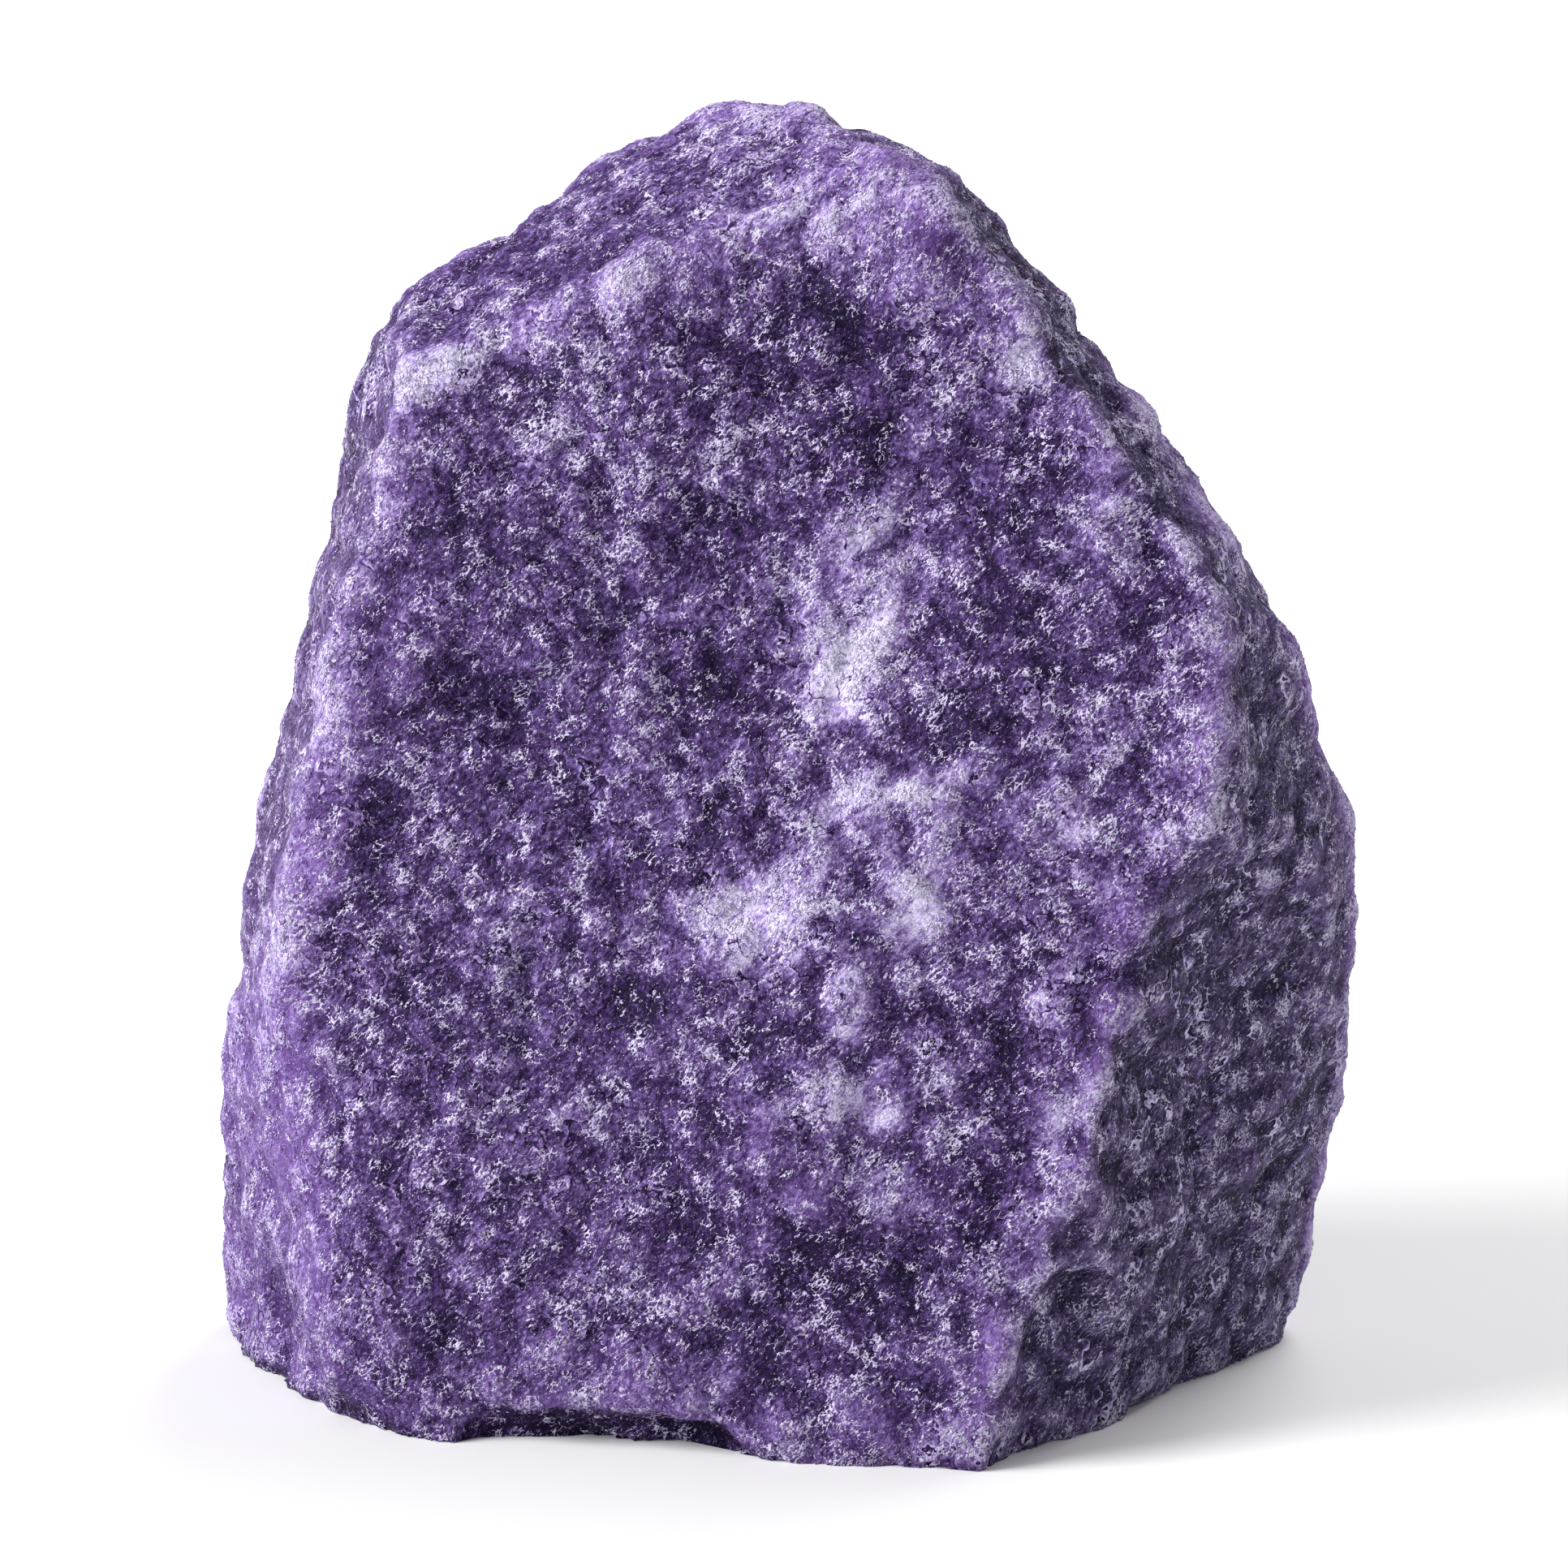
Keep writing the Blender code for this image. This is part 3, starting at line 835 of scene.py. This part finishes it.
# The skin's fields, read off its form: a crest stands over the broad form, a rim is a crest where
# grey meets violet, a bump stands over the near form, and the rest face a way or are noise.
# Many of these fields paint light and shade into the level, and the crest field carries the painted glow.
def fieldsOf(points, quads, edges, right, leftStrip, lobes):
    wide = spread(points, edges, skin["broad"])
    broadNormals = normalsOf(wide, quads)
    middling = normalsOf(spread(points, edges, skin["middling"]), quads)
    near = spread(points, edges, skin["near"])
    bump = ((points - near) * normalsOf(points, quads)).sum(axis=1) / skin["bumpHeight"]
    bump = np.clip(bump, -skin["bumpMost"], skin["bumpMost"])
    pale = paleness(points, broadNormals) * (1 - skin["paleRight"] * right)
    patchy = smoothStep(cloudNoise(points, *skin["patchy"]), *skin["patchySpan"])
    patchy = skin["patchyLeast"] + (1 - skin["patchyLeast"]) * patchy
    ridge = ((points - wide) * broadNormals).sum(axis=1)
    clear = smoothStep(points[:, 2], *skin["footSpan"])
    crest = clear * smoothStep(ridge, *skin["crestSpan"]) * patchy
    meeting = 4 * (right * (1 - right) + leftStrip * (1 - leftStrip))
    leftFoot = turnedTo(broadNormals, *skin["leftFoot"]) * patchy
    farRight = turnedTo(broadNormals, *skin["farRight"])
    down = smoothStep(-middling[:, 2], *skin["underSpan"])
    signs = {
        "base": 1,
        "pale": pale,
        "palest": np.maximum(pale - skin["palestFrom"], 0),
        "blotch": cloudNoise(points, *skin["blotch"]),
        "heap": cloudNoise(points, *skin["heap"]),
        "bump": bump,
        "greyBump": right * bump,
        "crest": crest,
        "rim": clear * smoothStep(ridge, *skin["rimSpan"]) * meeting,
        "right": right,
        "shoulder": right * smoothStep(broadNormals[:, 2], *skin["shoulderSpan"]),
        "leftStrip": leftStrip,
        "lobes": lobes,
        "farRight": farRight,
        "leftFoot": leftFoot,
        # painted shade on faces that look down, under the overhang on the left
        "paintedUnderShade": down * smoothStep(-points[:, 0], *skin["underLeft"]),
    }
    return {
        "pale": pale,
        "level": weighed(skin["level"], signs),
        # the crest field carries the painted glow: on the crests, and on the left foot, the far right and the
        # lobes
        "crest": np.maximum(crest, weighed(skin["paintedGlow"], signs)),
        "grey": right * (1 - skin["greyFarRight"] * farRight) + skin["greyLeft"] * leftStrip,
        "sugar": np.clip(weighed(skin["sugar"], signs), 0, skin["sugarMost"]),
    }


# The skin: the broken stone set in the frame, moved along its normals by the fine relief, and
# drawn back up to the level that it stands on.
def buildSkin(material):
    points, quads, edges, (right, leftStrip, lobes) = brokenStone()
    points, scale = placed(points)
    height = fineRelief(points, edges)
    points = points + normalsOf(points, quads) * height[:, None]
    points = levelled(points, stone["heartHeight"] * scale)
    fields = fieldsOf(points, quads, edges, right, leftStrip, lobes)
    mesh = newMesh("stone skin", points * mm, [quads])
    for name, values in fields.items():
        setField(mesh, name, values)
    mesh.shade_smooth()
    piece = addPiece("stone_skin", mesh, material)
    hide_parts("rough_stone")
    print("skin made,", 2 * len(quads), "triangles")
    return points, quads, fields


# Mica flakes: flat five-sided plates that run to a point under the skin. Where they lie is drawn
# by the skin's area times a weight, then each gets a slant, a turn, a size and a tone.
flakes = {
    "pieces": 4,
    "perPiece": 24000,
    "seed": 7,
    "corners": 5,
    "radius": (0.06, 0.19),
    "smallness": 2.5,    # 1 has as many large as small ones, more has more small ones
    "narrow": (0.25, 0.6),    # width over length
    "ragged": (0.65, 1.2), "shift": 0.3,    # of a corner's distance, and of its angle in radians
    "grain": (1, 0, 1), "stray": 0.7,    # the way they lie along, and how far they stray from it
    "slant": 17,
    "stand": 0.02,    # of the middle of a plate over the skin
    "root": 0.2,    # how deep its point goes
    "lowest": 0.01,    # nothing of a flake reaches lower
    "least": 0.08,    # weight where there is no sugar
    "behind": 1.2, "behindSpan": (0.2, 0.7),    # more of them on the faces that look away
    "soleHeight": 0.2, "soleFacing": -0.5,    # none below this height on faces that look down
    "tone": (0.15, 0.4), "toneEnds": (-0.2, 1),    # mean and spread
    "toneLift": 0.75, "toneBase": 0.4,    # of the level, and the share that needs no sugar
    "roughness": 0.3,
    "shine": 0.15,
}


# Corner k of a plate: centre + radius * (across cos k + along sin k), on a plane slanted from the
# skin; the point lies under its centre. The fields of the skin are read at the same place.
def buildFlakes(points, quads, fields, material):
    chance = np.random.default_rng(flakes["seed"])
    normals = normalsOf(points, quads)
    corners = points[quads]
    diagonals = corners[:, 2] - corners[:, 0], corners[:, 3] - corners[:, 1]
    area = np.linalg.norm(np.cross(*diagonals), axis=1)
    heart = corners.mean(axis=1)
    facing = normals[quads].mean(axis=1)
    weight = area * (flakes["least"] + fields["sugar"][quads].mean(axis=1))
    weight[(heart[:, 2] < flakes["soleHeight"]) & (facing[:, 2] < flakes["soleFacing"])] = 0
    weight *= 1 + flakes["behind"] * smoothStep(-facing[:, 1], *flakes["behindSpan"])
    count = flakes["perPiece"]
    sides = flakes["corners"]
    turn = np.arange(sides) * 2 * math.pi / sides
    for number in range(flakes["pieces"]):
        home = chance.choice(len(quads), count, p=weight / weight.sum())
        u, v = chance.random((2, count))
        share = np.stack(((1 - u) * (1 - v), u * (1 - v), u * v, (1 - u) * v), axis=1)
        centre = (corners[home] * share[:, :, None]).sum(axis=1)
        out = (normals[quads[home]] * share[:, :, None]).sum(axis=1)
        out += np.tan(math.radians(flakes["slant"])) * chance.uniform(-1, 1, (count, 3))
        out /= np.linalg.norm(out, axis=1, keepdims=True)
        across = np.array(flakes["grain"]) + chance.normal(0, flakes["stray"], (count, 3))
        across -= out * (out * across).sum(axis=1, keepdims=True)
        across /= np.linalg.norm(across, axis=1, keepdims=True)
        along = np.cross(out, across)
        low, high = flakes["radius"]
        radius = low + (high - low) * chance.random(count) ** flakes["smallness"]
        reach = radius[:, None] * chance.uniform(*flakes["ragged"], (count, sides))
        stretch = chance.uniform(*flakes["narrow"], count)
        angle = turn + chance.uniform(-flakes["shift"], flakes["shift"], (count, sides))
        ring = across[:, None] * (reach * np.cos(angle))[:, :, None]
        ring += along[:, None] * (reach * stretch[:, None] * np.sin(angle))[:, :, None]
        ring += (centre + out * flakes["stand"])[:, None]
        tip = centre - out * flakes["root"]
        places = np.concatenate((ring, tip[:, None]), axis=1)
        places[:, :, 2] = np.maximum(places[:, :, 2], flakes["lowest"])
        first = np.arange(count)[:, None] * (sides + 1)
        plates = first + np.arange(sides)
        following = first + (np.arange(sides) + 1) % sides
        tips = np.broadcast_to(first + sides, plates.shape)
        walls = np.stack((following, plates, tips), axis=2).reshape(-1, 3)
        mesh = newMesh("mica flakes", places.reshape(-1, 3) * mm, [plates, walls])
        for name, values in fields.items():
            read = (values[quads[home]] * share).sum(axis=1)
            setField(mesh, name, np.repeat(read, sides + 1))
        tone = np.clip(chance.normal(*flakes["tone"], count), *flakes["toneEnds"])
        setField(mesh, "tone", np.repeat(tone, sides + 1))
        addPiece("mica_flakes_%d" % (number + 1), mesh, material)
        print("flakes", number + 1, "made,", count * (2 * sides - 2), "triangles")


# A plain pale floor under soft white light.
studio = {
    # azimuth, elevation, distance and width of each lamp, and its watts
    "lamps": {"key": (-76, 30, 800, 420, 9), "overhead": (135, 58, 800, 500, 4.5)},
    "daylight": 0.3,    # strength of the white all round
    "floorHalf": 2000,
    "floorColour": (0.93, 0.93, 0.93, 1),
    "floorRoughness": 0.9,
}


# A round soft lamp at an azimuth, elevation and distance from the camera's target, turned to it.
def addLamp(name, azimuth, elevation, distance, width, watts):
    lamp = bpy.data.lights.new(name, "AREA")
    lamp.shape = "DISK"
    lamp.size = width * mm
    lamp.energy = watts
    place = looking(azimuth, elevation) * distance * mm
    made = bpy.data.objects.new(name, lamp)
    bpy.context.scene.collection.objects.link(made)
    made.location = place + np.array((0, 0, view["target"][2] * mm))
    made.rotation_euler = Vector(place).to_track_quat("Z", "Y").to_euler()


# The white all round, the lamps, and the floor, one square of twice floorHalf a side.
def buildStudio():
    world = bpy.data.worlds.new("studio")
    bpy.context.scene.world = world
    world.use_nodes = True
    background = world.node_tree.nodes["Background"]
    background.inputs["Color"].default_value = (1, 1, 1, 1)
    background.inputs["Strength"].default_value = studio["daylight"]
    for name, settings in studio["lamps"].items():
        addLamp(name, *settings)
    corners = np.array(((-1, -1, 0), (1, -1, 0), (1, 1, 0), (-1, 1, 0))) * studio["floorHalf"] * mm
    floorMesh = newMesh("floor", corners, [np.arange(4)[None]])
    floor = bpy.data.objects.new("floor", floorMesh)
    bpy.context.scene.collection.objects.link(floor)
    paper = bpy.data.materials.new("pale paper")
    paper.use_nodes = True
    shader = paper.node_tree.nodes["Principled BSDF"]
    shader.inputs["Base Color"].default_value = studio["floorColour"]
    shader.inputs["Roughness"].default_value = studio["floorRoughness"]
    floorMesh.materials.append(paper)
    print("studio made")


# The camera, from the values in view: out from the target by its distance.
def buildCamera():
    camera = bpy.data.cameras.new("camera")
    camera.lens = view["lens"]
    camera.sensor_width = view["sensor"]
    camera.clip_start = view["nearest"] * mm
    made = bpy.data.objects.new("camera", camera)
    bpy.context.scene.collection.objects.link(made)
    out = looking(0, view["elevation"])
    made.location = (np.array(view["target"]) + out * view["distance"]) * mm
    made.rotation_euler = (math.radians(90 - view["elevation"]), 0, 0)
    bpy.context.scene.camera = made
    print("camera set")


rockToneGroup()
speckGroup()
ledgeGroup()
skinFinish = rockMaterial("sugary lepidolite", rock["roughness"], rock["shine"])
flakeFinish = rockMaterial(
    "mica flakes", flakes["roughness"], flakes["shine"], flakes["toneLift"], flakes["toneBase"]
)
print("materials made")
points, quads, fields = buildSkin(skinFinish)
buildFlakes(points, quads, fields, flakeFinish)
buildStudio()
buildCamera()
bpy.context.scene.view_settings.view_transform = "Standard"
